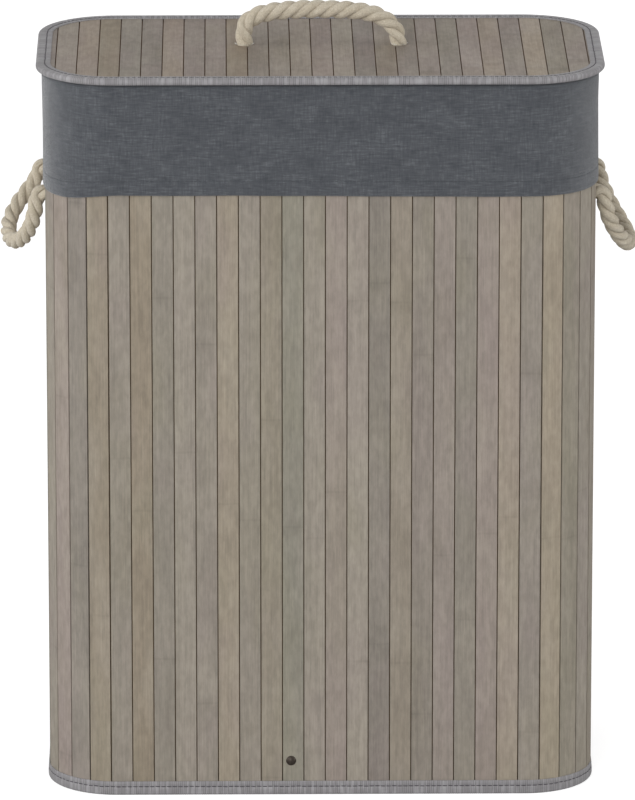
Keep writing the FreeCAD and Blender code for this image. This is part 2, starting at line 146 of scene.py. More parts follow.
class Paint:
    """A material and short calls for its nodes. An input is a socket or a plain value."""

    def __init__(self, name, roughness=0.8, specular=0.3, sheen=0.0, metallic=0.0):
        self.material = bpy.data.materials.new(name)
        self.material.use_nodes = True
        self.tree = self.material.node_tree
        self.shader = self.tree.nodes["Principled BSDF"]
        self.shader.inputs["Roughness"].default_value = roughness
        self.shader.inputs["Specular IOR Level"].default_value = specular
        self.shader.inputs["Sheen Weight"].default_value = sheen
        self.shader.inputs["Metallic"].default_value = metallic

    def feed(self, socket, value):
        if isinstance(value, bpy.types.NodeSocket):
            self.tree.links.new(value, socket)
        elif value is not None:
            socket.default_value = value

    def node(self, kind, inputs=(), **settings):
        node = self.tree.nodes.new("ShaderNode" + kind)
        for key, value in settings.items():
            setattr(node, key, value)
        for key, value in dict(inputs).items():
            self.feed(node.inputs[key], value)
        return node

    def math(self, operation, a, b=None):
        return self.node("Math", {0: a, 1: b}, operation=operation).outputs[0]

    def times(self, a, b):
        return self.math("MULTIPLY", a, b)

    def plus(self, a, b):
        return self.math("ADD", a, b)

    def minus(self, a, b):
        return self.math("SUBTRACT", a, b)

    def vector(self, operation, a, b=None):
        return self.node("VectorMath", {0: a, 1: b}, operation=operation).outputs[0]

    def noise(self, place, scale, detail=2.0, roughness=0.5):
        inputs = {"Vector": place, "Scale": scale, "Detail": detail, "Roughness": roughness}
        return self.node("TexNoise", inputs).outputs["Fac"]

    def between(self, value, low, high, to_low=0.0, to_high=1.0):
        inputs = {"Value": value, "From Min": low, "From Max": high, "To Min": to_low, "To Max": to_high}
        return self.node("MapRange", inputs, interpolation_type="SMOOTHSTEP").outputs[0]

    def mix(self, share, a, b, blend="MIX"):
        node = self.node("Mix", {0: share, 6: a, 7: b}, data_type="RGBA", blend_type=blend)
        return node.outputs[2]

    def stain(self, under, colour, value, low, high, to_low, to_high):
        """Lays a colour over another, by how much a value passes from low to high."""
        return self.mix(self.between(value, low, high, to_low, to_high), under, colour)

    def tones(self, value, colours):
        """Steps through colours as value goes from 0 to 1."""
        ramp = self.node("ValToRGB", {"Fac": value})
        elements = ramp.color_ramp.elements
        while len(elements) < len(colours):
            elements.new(1.0)
        for k, colour in enumerate(colours):
            elements[k].position = k / (len(colours) - 1)
            elements[k].color = colour
        return ramp.outputs["Color"]

    def place(self):
        return self.node("TexCoord").outputs["Object"]

    def stretched(self, place, scale):
        return self.vector("MULTIPLY", place, scale)

    def spread(self, place, scale, detail=3.0, roughness=0.6):
        """Noise with its own scale on each axis."""
        return self.noise(self.stretched(place, scale), 1.0, detail, roughness)

    def lie(self):
        """The along, across and rise that the piece's mesh stores for its cloth."""
        found = self.node("Attribute", attribute_name="lie", attribute_type="GEOMETRY")
        return found.outputs["Vector"]

    def colour(self, value):
        self.feed(self.shader.inputs["Base Color"], value)

    def rough(self, value):
        self.feed(self.shader.inputs["Roughness"], value)

    def bump(self, height, distance, strength=1.0, under=None):
        inputs = {"Height": height, "Distance": distance, "Strength": strength, "Normal": under}
        normal = self.node("Bump", inputs).outputs["Normal"]
        self.feed(self.shader.inputs["Normal"], normal)
        return normal


SLAT_TONES = [
    rgb(141, 133, 123), rgb(158, 150, 138), rgb(149, 137, 120), rgb(142, 138, 126),
    rgb(152, 141, 133), rgb(165, 153, 134), rgb(133, 126, 118), rgb(151, 144, 131),
]


def wall_slat_number(paint, place):
    """Counts the wall's slats from the front gap anticlockwise, by the way along the wall's outline."""
    x, y, _ = paint.node("SeparateXYZ", {0: place}).outputs
    straight_x, straight_y = WALL_MIDDLE[0] - WALL_ROUND, WALL_MIDDLE[1] - WALL_ROUND
    quarter = straight_x + straight_y + WALL_ROUND * math.pi / 2
    wide, deep = paint.math("ABSOLUTE", x), paint.math("ABSOLUTE", y)
    past_x = paint.math("MAXIMUM", paint.minus(wide, straight_x), 0.0)
    past_y = paint.math("MAXIMUM", paint.minus(deep, straight_y), 0.0)
    turn = paint.times(paint.math("ARCTAN2", past_x, past_y), WALL_ROUND)
    left = paint.minus(quarter, paint.math("MINIMUM", wide, straight_x))
    left = paint.minus(left, turn)
    left = paint.minus(left, paint.minus(straight_y, paint.math("MINIMUM", deep, straight_y)))
    half = paint.plus(paint.times(paint.math("SIGN", y), left), quarter)
    rest = paint.times(paint.math("SIGN", x), paint.minus(2 * quarter, half))
    way = paint.minus(6 * quarter - WALL_GAP_X, rest)
    way = paint.math("MODULO", way, 4 * quarter)
    return paint.math("FLOOR", paint.math("DIVIDE", way, 4 * quarter / WALL_SLATS))


def lid_slat_number(paint, place):
    """Counts the lid's slats from left to right."""
    x = paint.node("SeparateXYZ", {0: place}).outputs[0]
    return paint.math("FLOOR", paint.math("DIVIDE", paint.minus(x, LID_GAP_X), LID_PITCH))


def bamboo(name, grain, number, shade=(1.0, 1.0, 1.0), spacing=0.31):
    """Grey-washed bamboo, each slat with its own tone and its nodes a spacing apart.

    grain is 1 along the slat and 0 across it, on each axis; number gives the slat's number; shade multiplies
    the whole colour, as painted shade where a copy is darkened."""
    paint = Paint(name, specular=0.28)
    place = paint.place()
    lot = paint.node("TexWhiteNoise", {"W": number(paint, place)}, noise_dimensions="1D")
    own = lot.outputs["Color"]
    split = paint.node("SeparateColor", {0: own})
    shifted = paint.vector("ADD", place, paint.vector("MULTIPLY", own, (3.1, 2.7, 4.3)))

    def drawn_out(ratio, scale, detail, roughness):
        """Noise drawn out along the slat."""
        stretch = tuple(ratio if g else 1.0 for g in grain)
        return paint.noise(paint.stretched(shifted, stretch), scale, detail, roughness)

    wash = drawn_out(0.3, 34.0, 4.0, 0.6)
    mottle = drawn_out(0.42, 210.0, 3.0, 0.6)
    streak = drawn_out(0.018, 620.0, 2.0, 0.55)
    fibre = drawn_out(0.03, 2100.0, 2.0, 0.6)

    colour = paint.tones(split.outputs[0], SLAT_TONES)
    colour = paint.stain(colour, rgb(172, 163, 150), wash, 0.42, 0.72, 0.0, 0.32)
    colour = paint.stain(colour, rgb(118, 108, 96), wash, 0.28, 0.46, 0.22, 0.0)
    tint = drawn_out(0.4, 19.0, 2.0, 0.5)
    colour = paint.stain(colour, rgb(150, 136, 134), tint, 0.5, 0.7, 0.0, 0.25)
    colour = paint.stain(colour, rgb(144, 139, 116), tint, 0.3, 0.5, 0.22, 0.0)
    gain = paint.plus(paint.between(mottle, 0.3, 0.7, -0.085, 0.085), 1.0)
    gain = paint.plus(gain, paint.between(streak, 0.3, 0.7, -0.055, 0.055))
    gain = paint.plus(gain, paint.between(fibre, 0.3, 0.7, -0.06, 0.06))

    axis = paint.node("SeparateXYZ", {0: place}).outputs[grain.index(1)]
    waver = paint.times(paint.noise(shifted, 90.0, 1.0), 0.0016)
    level = paint.plus(axis, paint.times(split.outputs[1], spacing))
    level = paint.plus(level, waver)
    apart = paint.math("PINGPONG", level, spacing / 2)
    ring = paint.between(apart, 0.0003, 0.0015, 1.0, 0.0)
    halo = paint.between(apart, 0.0008, 0.011, 1.0, 0.0)
    gain = paint.minus(gain, paint.times(ring, 0.06))
    gain = paint.minus(gain, paint.times(halo, 0.045))
    # shade multiplies this copy's colour: painted shade where a copy is made darker.
    gains = {k: paint.times(gain, share) for k, share in enumerate(shade)}
    colour = paint.mix(1.0, colour, paint.node("CombineXYZ", gains).outputs[0], "MULTIPLY")
    paint.colour(colour)
    paint.rough(paint.between(wash, 0.2, 0.8, 0.66, 0.5))
    grooves = paint.bump(streak, 0.00016, 0.55)
    grooves = paint.bump(fibre, 0.00007, 0.5, grooves)
    paint.bump(halo, 0.0004, 0.5, grooves)
    return paint.material


def woven(name, colour, dark, light, thread=0.55 * MM, slub=0.5, sheen=0.2, patch=0.4, roughness=0.9):
    """Plain-woven cloth laid along its stored coordinates, with thick and thin threads."""
    paint = Paint(name, roughness, 0.15, sheen)
    lie = paint.lie()
    split = paint.node("SeparateXYZ", {0: lie})
    turns = 2 * math.pi / thread
    warp = paint.math("SINE", paint.times(split.outputs[0], turns))
    weft = paint.math("SINE", paint.times(split.outputs[1], turns))
    weave = paint.times(warp, weft)
    across = paint.spread(lie, (85.0, 640.0, 1.0), 3.0, 0.65)
    upright = paint.spread(lie, (640.0, 85.0, 1.0), 3.0, 0.65)
    patches = paint.spread(lie, (30.0, 48.0, 1.0))
    threads = paint.plus(paint.times(across, 0.6), paint.times(upright, 0.4))
    tone = paint.stain(colour, dark, threads, 0.3, 0.55, slub, 0.0)
    tone = paint.stain(tone, light, threads, 0.5, 0.72, 0.0, slub)
    tone = paint.stain(tone, dark, patches, 0.3, 0.7, patch, 0.0)
    paint.colour(tone)
    under = paint.bump(threads, 0.00022, 0.6)
    paint.bump(weave, 0.0001, 0.5, under)
    return paint.material


def grosgrain(name, colour, groove, light):
    """Ribbed binding tape, with painted shade between its ribs."""
    paint = Paint(name, 0.62, 0.35, 0.12)
    lie = paint.lie()
    split = paint.node("SeparateXYZ", {0: lie})
    patches = paint.spread(lie, (55.0, 120.0, 0.0))
    lots = paint.spread(lie, (420.0, 40.0, 0.0), 1.5, 0.6)
    # Painted shade: the groove tone laid where the stored rib height is low, between the ribs; below, the
    # same tone also marks random patches.
    tone = paint.stain(colour, groove, split.outputs[2], 0.0, 0.9, 0.75, 0.0)
    tone = paint.stain(tone, light, lots, 0.42, 0.68, 0.0, 0.75)
    tone = paint.stain(tone, groove, patches, 0.35, 0.65, 0.25, 0.0)
    paint.colour(tone)
    weft = paint.math("SINE", paint.times(split.outputs[1], 2 * math.pi / (0.3 * MM)))
    paint.bump(weft, 0.00003, 0.4)
    return paint.material


def cotton(name):
    """Soft rope cotton, with painted shade where the strands meet; the stored rise is 0 there and 1 outside.
    """
    paint = Paint(name, 0.95, 0.1, 0.25)
    lie = paint.lie()
    split = paint.node("SeparateXYZ", {0: lie})
    fibres = paint.spread(lie, (160.0, 11.0, 0.0), 3.0, 0.65)
    place = paint.place()
    clouds = paint.noise(place, 120.0, 3.0, 0.6)
    specks = paint.noise(place, 900.0, 2.0, 0.7)
    tone = paint.mix(paint.between(clouds, 0.3, 0.7, 0.0, 0.6), rgb(216, 206, 187), rgb(197, 185, 163))
    tone = paint.stain(tone, rgb(160, 146, 122), fibres, 0.32, 0.56, 0.45, 0.0)
    tone = paint.stain(tone, rgb(234, 227, 211), specks, 0.52, 0.7, 0.0, 0.5)
    tone = paint.stain(tone, rgb(158, 146, 124), specks, 0.32, 0.46, 0.35, 0.0)
    # Painted shade: a dark brown laid where the stored rise is low, in the crevices between the strands.
    tone = paint.stain(tone, rgb(128, 112, 84), split.outputs[2], 0.1, 0.85, 0.8, 0.0)
    paint.colour(tone)
    under = paint.bump(fibres, 0.0006, 0.7)
    paint.bump(specks, 0.0006, 0.7, under)
    return paint.material


def board(name):
    """Hardboard: smooth brown with short random fibres."""
    paint = Paint(name, 0.7, 0.3)
    place = paint.place()
    fibres = paint.noise(place, 700.0, 4.0, 0.75)
    clouds = paint.noise(place, 30.0, 2.0, 0.5)
    tone = paint.mix(paint.between(fibres, 0.35, 0.65), rgb(104, 76, 50), rgb(146, 112, 78))
    tone = paint.stain(tone, rgb(92, 66, 44), clouds, 0.3, 0.7, 0.3, 0.0)
    paint.colour(tone)
    paint.bump(fibres, 0.0001, 0.4)
    return paint.material


def metal(name, colour, worn, roughness, metallic):
    """Painted or plated metal with slight wear."""
    paint = Paint(name, roughness, 0.5, 0.0, metallic)
    place = paint.place()
    marks = paint.noise(place, 1800.0, 3.0, 0.6)
    paint.colour(paint.mix(paint.between(marks, 0.5, 0.75), colour, worn))
    paint.rough(paint.between(marks, 0.3, 0.7, roughness - 0.08, roughness + 0.12))
    paint.bump(marks, 0.00004, 0.5)
    return paint.material


def looped(name, colour, light):
    """The nap of hook-and-loop tape."""
    paint = Paint(name, 0.9, 0.2, 0.3)
    nap = paint.node("TexVoronoi", {"Vector": paint.place(), "Scale": 1500.0}).outputs["Distance"]
    paint.colour(paint.mix(paint.between(nap, 0.1, 0.6), light, colour))
    paint.bump(nap, 0.0003, 0.8)
    return paint.material


WALL_BAMBOO = bamboo("bamboo_upright", (0, 0, 1), wall_slat_number)
# The lid's copy is a little darker and warmer: painted shade on the lid's top.
LID_BAMBOO = bamboo("bamboo_lid", (0, 1, 0), lid_slat_number, (0.97, 0.94, 0.94), 0.27)
TAPE = grosgrain("grosgrain_grey", rgb(150, 148, 149), rgb(112, 109, 112), rgb(172, 170, 173))
THREAD = woven("stitch_thread", rgb(84, 80, 86), rgb(62, 58, 64), rgb(104, 100, 106), 0.3 * MM)
CUFF = woven("cuff_linen", rgb(87, 90, 95), rgb(60, 63, 69), rgb(120, 123, 127), slub=0.8, sheen=0.6)
CUFF_THREAD = woven("cuff_thread", rgb(74, 77, 82), rgb(60, 63, 68), rgb(90, 93, 98), 0.3 * MM)
LINER = woven("liner_cloth", rgb(94, 97, 101), rgb(76, 79, 84), rgb(112, 115, 119), 0.6 * MM)
BACKING = woven("backing_cloth", rgb(92, 73, 48), rgb(66, 51, 32), rgb(114, 93, 64), 0.8 * MM)
LINING = woven("lid_lining", rgb(92, 95, 99), rgb(76, 79, 83), rgb(108, 111, 115), 0.5 * MM)
HINGE = woven("hinge_tape", rgb(74, 76, 80), rgb(56, 58, 62), rgb(92, 95, 99), 0.9 * MM)
WEBBING = woven("webbing", rgb(58, 58, 61), rgb(40, 40, 43), rgb(78, 79, 82), 1.6 * MM)
ROPE = cotton("cotton_rope")
FRAY = woven("white_fibres", rgb(238, 236, 230), rgb(214, 210, 202), rgb(250, 249, 246), 0.4 * MM)
HARDBOARD = board("hardboard")
DARK_RIVET = metal("dark_rivet", rgb(62, 54, 48), rgb(104, 94, 84), 0.42, 0.6)
STEEL = metal("zinc_washer", rgb(150, 150, 152), rgb(188, 188, 190), 0.35, 1.0)
LOOPS = looped("loop_tape", rgb(58, 60, 64), rgb(88, 90, 94))


# ======== mesh helpers


def smoothstep(value, low, high):
    t = min(max((value - low) / (high - low), 0.0), 1.0)
    return t * t * (3 - 2 * t)


def add_object(name, data):
    holder = bpy.data.objects.new(name, data)
    bpy.context.scene.collection.objects.link(holder)
    return holder


def new_piece(name, points, faces, material, lie=None):
    """A smooth mesh; lie holds the cloth's own coordinates, one row a point."""
    mesh = bpy.data.meshes.new(name)
    mesh.from_pydata([tuple(p) for p in points], [], faces)
    if lie is not None:
        stored = mesh.attributes.new("lie", "FLOAT_VECTOR", "POINT")
        stored.data.foreach_set("vector", [value for row in lie for value in row])
    mesh.shade_smooth()
    mesh.materials.append(material)
    return add_object(name, mesh)


def settle(piece, body, slot, *nodes):
    """The piece rides on a body and stands for CAD nodes; the slot is not used."""
    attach(piece, body)
    if nodes:
        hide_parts(*nodes)
    return piece


def grid_faces(rows, columns, first=0, wrap=False):
    """Faces between points that are stored row by row."""
    faces = []
    for r in range(rows - 1):
        for c in range(columns if wrap else columns - 1):
            d = (c + 1) % columns
            a, b = first + r * columns, first + (r + 1) * columns
            faces.append((a + c, a + d, b + d, b + c))
    return faces


def tube_faces(rows, sides, first=0):
    """A tube over rows of points, closed at both ends."""
    top = first + (rows - 1) * sides
    faces = grid_faces(rows, sides, first, wrap=True)
    faces.append(tuple(first + k for k in reversed(range(sides))))
    faces.append(tuple(top + k for k in range(sides)))
    return faces


def shell_faces(rows, columns):
    """A strip over rows of points that go out on one side and back on the other, closed at both ends."""
    faces = grid_faces(rows, columns, wrap=True)
    last = (rows - 1) * columns
    for c in range(columns // 2 - 1):
        d = columns - 1 - c
        faces.append((c, d, d - 1, c + 1))
        faces.append((last + c, last + c + 1, last + d - 1, last + d))
    return faces


def flipped(faces):
    return [face[::-1] for face in faces]


def rim_faces(base, layer, around):
    """Faces between the same closed row of two layers of points."""
    nexts = [(c, (c + 1) % around) for c in range(around)]
    return [(base + c, base + d, layer + base + d, layer + base + c) for c, d in nexts]


class Outline:
    """A rounded rectangle round the Z axis, walked anticlockwise from the middle of the rear."""

    def __init__(self, half_x, half_y, radius):
        self.half_x, self.half_y, self.radius = half_x, half_y, radius
        flat_x, flat_y = half_x - radius, half_y - radius
        bend = math.pi / 2
        self.stretches = [
            (flat_x, 0.0, half_y, 180, 0),
            (radius * bend, -flat_x, flat_y, 180, radius),
            (2 * flat_y, -half_x, flat_y, 270, 0),
            (radius * bend, -flat_x, -flat_y, 270, radius),
            (2 * flat_x, -flat_x, -half_y, 0, 0),
            (radius * bend, flat_x, -flat_y, 0, radius),
            (2 * flat_y, half_x, -flat_y, 90, 0),
            (radius * bend, flat_x, flat_y, 90, radius),
            (flat_x, flat_x, half_y, 180, 0),
        ]
        self.length = sum(stretch[0] for stretch in self.stretches)

    def at(self, s):
        """The point at a distance along the outline, and the direction out of it."""
        s %= self.length
        for length, x, y, heading, radius in self.stretches:
            if s <= length:
                break
            s -= length
        heading = math.radians(heading)
        if radius:
            a = heading - math.pi / 2 + s / radius
            out = Vector((math.cos(a), math.sin(a), 0))
            return Vector((x, y, 0)) + out * radius, out
        ahead = Vector((math.cos(heading), math.sin(heading), 0))
        return Vector((x, y, 0)) + ahead * s, Vector((ahead.y, -ahead.x, 0))


BODY = Outline(HALF_W, HALF_D, CORNER_R)
LID = Outline(LID_HALF_W, LID_HALF_D, CORNER_R + LID_HALF_W - HALF_W)


def section(line, thickness):
    """A closed section round an open line of (out, z) points, visible side on the left of the walk.

    Each row is (out, z, facing out, facing z, distance along the line, side)."""
    rows, other, distance = [], [], 0.0
    for k, (out, z) in enumerate(line):
        before, after = line[max(k - 1, 0)], line[min(k + 1, len(line) - 1)]
        ahead = Vector((after[0] - before[0], after[1] - before[1])).normalized()
        facing = Vector((-ahead.y, ahead.x))
        if k:
            distance += math.dist(line[k - 1], line[k])
        half = thickness / 2
        rows.append((out + facing.x * half, z + facing.y * half, facing.x, facing.y, distance, 1))
        other.append((out - facing.x * half, z - facing.y * half, -facing.x, -facing.y, distance, -1))
    return rows + other[::-1]


def strip(name, outline, line, thickness, step, material, lap=0.0, shape=None, ribs=False):
    """A strip of cloth or tape with one section, carried right round an outline.

    shape(s, out, z) moves a point of the section; ribs raise the visible side."""
    rows = section(line, thickness)
    total = outline.length + lap
    count = max(8, round(total / step))
    points, lie = [], []
    for k in range(count + 1):
        s = total * k / count
        spot, out_of = outline.at(s)
        lift = smoothstep(s, outline.length - 6 * MM, outline.length) * thickness * 1.1 if lap else 0.0
        rib = 0.5 + 0.5 * math.cos(2 * math.pi * s / RIB_PITCH) if ribs else 1.0
        for out, z, facing_out, facing_z, along, side in rows:
            rise = (rib - 0.5) * RIB_H if ribs and side > 0 else 0.0
            out, z = out + facing_out * (rise + lift), z + facing_z * rise
            if shape:
                out, z = shape(s, out, z)
            points.append(spot + out_of * out + Vector((0, 0, z)))
            lie.append((s, along, rib))
    return new_piece(name, points, shell_faces(count + 1, len(rows)), material, lie)


def arc(centre, radius, start, end, steps):
    """(out, z) points of an arc, angles in degrees."""
    points = []
    for k in range(steps + 1):
        a = math.radians(start + (end - start) * k / steps)
        points.append((centre[0] + radius * math.cos(a), centre[1] + radius * math.sin(a)))
    return points


def run(start, end, steps, last=False):
    """(out, z) points along a straight run."""
    count = steps + 1 if last else steps
    return [tuple(a + (b - a) * k / steps for a, b in zip(start, end)) for k in range(count)]


def stitches(name, places, material, long, thick):
    """Small rounded stitches. A place is its middle, the way it runs and the way it faces."""
    points, faces, lie = [], [], []
    shares = [(-0.5, 0.25), (-0.38, 0.85), (0.0, 1.0), (0.38, 0.85), (0.5, 0.25)]
    sides = 8
    for middle, ahead, facing in places:
        aside = ahead.cross(facing)
        first = len(points)
        for share, girth in shares:
            for k in range(sides):
                a = 2 * math.pi * k / sides
                radius = thick / 2 * girth
                sunk = -thick * 0.9 * abs(share) ** 2
                spot = middle + ahead * (long * share) + facing * (radius * math.sin(a) + sunk)
                points.append(spot + aside * (radius * 1.1 * math.cos(a)))
                lie.append((long * share, radius * a, 1.0))
        faces += tube_faces(len(shares), sides, first)
    return new_piece(name, points, faces, material, lie)


def seam_places(outline, out, z, pitch, facing=None, seed=1):
    """Places for a row of stitches right round an outline, facing out of it or another way."""
    rolls = random.Random(seed)
    count = round(outline.length / pitch)
    places = []
    for k in range(count):
        s = outline.length * (k + 0.5) / count
        spot, out_of = outline.at(s)
        ahead = Vector((-out_of.y, out_of.x, 0))
        wander = rolls.uniform(-STITCH_WANDER, STITCH_WANDER)
        if facing is None:
            places.append((spot + out_of * out + Vector((0, 0, z + wander)), ahead, out_of))
        else:
            places.append((spot + out_of * (out + wander) + Vector((0, 0, z)), ahead, facing))
    return places


# ======== bindings


def lid_binding():
    """Tape folded round the lid's edge, pulled in along its stitches."""
    t = TAPE_T / 2
    inner, seam = -TAPE_LEG, -TAPE_LEG + STITCH_FROM_EDGE
    top, low = LID_TOP - t, LID_LOW + t
    bend = 2.1 * MM
    line = [
        (inner, top - 0.35 * MM), (inner + 0.5 * MM, top - 0.08 * MM), (inner + 2.2 * MM, top + 0.05 * MM),
        (seam - 0.9 * MM, top - 0.1 * MM), (seam, top - 0.4 * MM), (seam + 0.9 * MM, top - 0.02 * MM),
        (seam + 2.4 * MM, top + 0.25 * MM),
    ]
    line += arc((-t - bend, top - bend + 0.25 * MM), bend, 90, 0, 6)
    line += arc((-t - bend, low + bend), bend, 0, -90, 6)
    line += [(seam + 0.9 * MM, low), (seam, low + 0.3 * MM), (seam - 0.9 * MM, low), (inner, low + 0.1 * MM)]
    piece = strip("lid_binding_tape", LID, line, TAPE_T, RIB_PITCH / 2, TAPE, 14 * MM, ribs=True)
    settle(piece, "lid", "grosgrain_tape", "lid_binding")
    up = Vector((0, 0, 1))
    places = seam_places(LID, seam, LID_TOP - 0.18 * MM, STITCH_PITCH, up)
    places += seam_places(LID, seam, LID_LOW + 0.15 * MM, STITCH_PITCH, -up, seed=2)
    sewing = stitches("lid_binding_stitches", places, THREAD, STITCH_LONG, STITCH_THICK)
    settle(sewing, "lid", "grosgrain_tape")


def bottom_binding():
    """Tape folded round the foot of the wall."""
    t = TAPE_T / 2
    out, inn = BIND_OUT - t, CLOTH_IN - t
    seam = BOTTOM_LEG - STITCH_FROM_EDGE
    bend = 1.7 * MM
    line = [
        (out - 0.75 * MM, BOTTOM_LEG), (out - 0.4 * MM, BOTTOM_LEG - 0.6 * MM),
        (out - 0.2 * MM, BOTTOM_LEG - 2.2 * MM), (out - 0.3 * MM, seam + 0.9 * MM), (out - 0.6 * MM, seam),
        (out - 0.2 * MM, seam - 0.9 * MM), (out + 0.1 * MM, seam - 2.4 * MM),
    ]
    line += arc((out - bend, t + bend), bend, 0, -90, 6)
    line += arc((inn + 1.0 * MM, t + 1.0 * MM), 1.0 * MM, -90, -180, 4)
    line += [(inn, BOTTOM_LEG / 2), (inn, BOTTOM_LEG)]
    piece = strip("bottom_binding_tape", BODY, line, TAPE_T, RIB_PITCH / 2, TAPE, 14 * MM, ribs=True)
    settle(piece, "hamper_body", "grosgrain_tape", "bottom_binding")
    places = seam_places(BODY, BIND_OUT - 0.42 * MM, seam, STITCH_PITCH, seed=3)
    sewing = stitches("bottom_binding_stitches", places, THREAD, STITCH_LONG, STITCH_THICK)
    settle(sewing, "hamper_body", "grosgrain_tape")


def top_binding():
    """The same tape round the wall's top, which the cuff covers."""
    t, bend = TAPE_T / 2, 1.2 * MM
    out, inn, top = BIND_OUT - t, CLOTH_IN - t, WALL_TOP - t
    line = run((inn, TOP_LEG), (inn, top - bend), 3) + arc((inn + bend, top - bend), bend, 180, 90, 4)
    line += arc((out - bend, top - bend), bend, 90, 0, 4) + run((out, top - 2 * MM), (out, TOP_LEG), 3, True)
    piece = strip("top_binding_tape", BODY, line, TAPE_T, 3 * MM, TAPE)
    settle(piece, "hamper_body", "grosgrain_tape", "top_binding")


def backing():
    """The cloth that the slats are glued to."""
    middle = (SLAT_IN + CLOTH_IN) / 2
    line = run((middle, SLAT_LOW), (middle, SLAT_TOP), 12, True)
    piece = strip("wall_backing", BODY, line, CLOTH_T * 0.9, 4 * MM, BACKING)
    settle(piece, "hamper_body", "backing_cloth", "wall_backing_cloth")


# ======== liner


def ripple(s, z, scale_s, scale_z, seed, length=BODY.length):
    """Smooth noise from -1 to 1 that meets itself after one turn round an outline of that length."""
    a = 2 * math.pi * s / length
    radius = length / (2 * math.pi)
    spot = Vector((radius * math.cos(a) * scale_s, radius * math.sin(a) * scale_s, z * scale_z + seed))
    return field.noise(spot)


def hem_hang(s):
    """How far the cuff's hem hangs above or below its level there."""
    spot = BODY.at(s)[0]
    wander = ripple(s, 0.0, 7, 1, 5.3) * 0.9 * MM + ripple(s, 0.0, 23, 1, 2.9) * 0.35 * MM
    corner = math.dist(spot.xy, (-HALF_W + 5 * MM, -HALF_D + 22 * MM))
    right = smoothstep(spot.x, -0.06, 0.17) * smoothstep(spot.y, -0.04, -0.10)
    return wander - 5.5 * MM * (1 - smoothstep(corner, 8 * MM, 62 * MM)) - 1.8 * MM * right


def slack(s, z):
    """How far the cuff stands out of or into its level there."""
    return ripple(s, z, 11, 9, 3.7) * 0.75 * MM + ripple(s, z, 27, 17, 9.1) * 0.3 * MM


def hem_share(z):
    """How much of the hem's hang a height of the cuff takes."""
    return smoothstep(z, HEM_Z + 45 * MM, HEM_Z)


def cuff():
    """The top of the liner, turned over the rim: a fold, a slightly loose fall and a sewn hem."""
    t = LINER_T / 2
    out, inn = CUFF_OUT - t, CLOTH_IN - TAPE_T - t
    top = CUFF_TOP - t
    seam = HEM_Z + 12.5 * MM
    line = run((inn, BAG_TOP), (inn, top - 2.4 * MM), 5)
    line += arc((inn + 2.4 * MM, top - 2.4 * MM), 2.4 * MM, 180, 90, 6)
    line += arc((out - 2.4 * MM, top - 2.4 * MM), 2.4 * MM, 90, 0, 6)
    line += run((out, top - 4 * MM), (out - 0.1 * MM, seam + 1.6 * MM), 28)
    line += [(out - 0.12 * MM, seam + 1.0 * MM), (out - 0.26 * MM, seam), (out - 0.06 * MM, seam - 1.0 * MM)]
    line += run((out, seam - 2 * MM), (out + 0.02 * MM, HEM_Z + 1.2 * MM), 4)
    line += arc((out - 0.5 * MM, HEM_Z + t + 0.45 * MM), 0.5 * MM, 0, -180, 6)
    line += run((out - 1.0 * MM, HEM_Z + 2 * MM), (out - 0.95 * MM, seam + 1.5 * MM), 4, True)

    def shape(s, out, z):
        outside = smoothstep(out, -0.5 * MM, 0.8 * MM)
        fall = smoothstep(z, CUFF_TOP - 3 * MM, CUFF_TOP - 26 * MM) * outside
        low = hem_share(z) * outside
        rim = ripple(s, 0.0, 16, 1, 8.3) * 0.3 * MM * smoothstep(z, CUFF_TOP - 8 * MM, CUFF_TOP)
        near = min(s, BODY.length - s)
        sewn = -0.45 * MM * (1 - smoothstep(near, 0.0, 2.2 * MM)) * outside
        out += slack(s, z) * fall + sewn - 0.25 * MM * fall * (1 - low)
        return out, z + hem_hang(s) * low + min(rim, 0.0)

    piece = strip("liner_cuff_cloth", BODY, line, LINER_T * 0.85, 2.2 * MM, CUFF, shape=shape)
    settle(piece, "hamper_body", "cuff_cloth", "liner_cuff")
    places = []
    for middle, ahead, facing in seam_places(BODY, CUFF_OUT - 0.35 * MM, seam, 3.6 * MM, seed=4):
        s = along_outline(BODY, middle)
        middle += facing * slack(s, seam) + Vector((0, 0, hem_hang(s) * hem_share(seam)))
        places.append((middle, ahead, facing))
    sewing = stitches("cuff_hem_stitches", places, CUFF_THREAD, 2.9 * MM, 0.5 * MM)
    settle(sewing, "hamper_body", "cuff_cloth")


def along_outline(outline, spot):
    """The distance along an outline whose point lies nearest."""
    steps = 720
    found = min(range(steps), key=lambda k: (outline.at(outline.length * k / steps)[0].xy - spot.xy).length)
    return outline.length * found / steps


BAG_IN = CLOTH_IN - 1.4 * MM
BAG_SECTIONS = [
    (BAG_FLOOR_Z + 0.9 * MM, Outline(0.197, 0.104, 0.050)),
    (0.522, Outline(0.200, 0.106, 0.052)),
    (BAG_TOP + 6 * MM, Outline(HALF_W + BAG_IN, HALF_D + BAG_IN, CORNER_R - 4 * MM)),
]


def bag_point(share, z):
    """A point of the bag at a share of the way round and a height, before its creases."""
    for (z0, low), (z1, high) in zip(BAG_SECTIONS, BAG_SECTIONS[1:]):
        if z <= z1:
            break
    t = min(max((z - z0) / (z1 - z0), 0.0), 1.0)
    a, out_a = low.at(share * low.length)
    b, out_b = high.at(share * high.length)
    return a.lerp(b, t) + Vector((0, 0, z)), out_a.lerp(out_b, t).normalized()


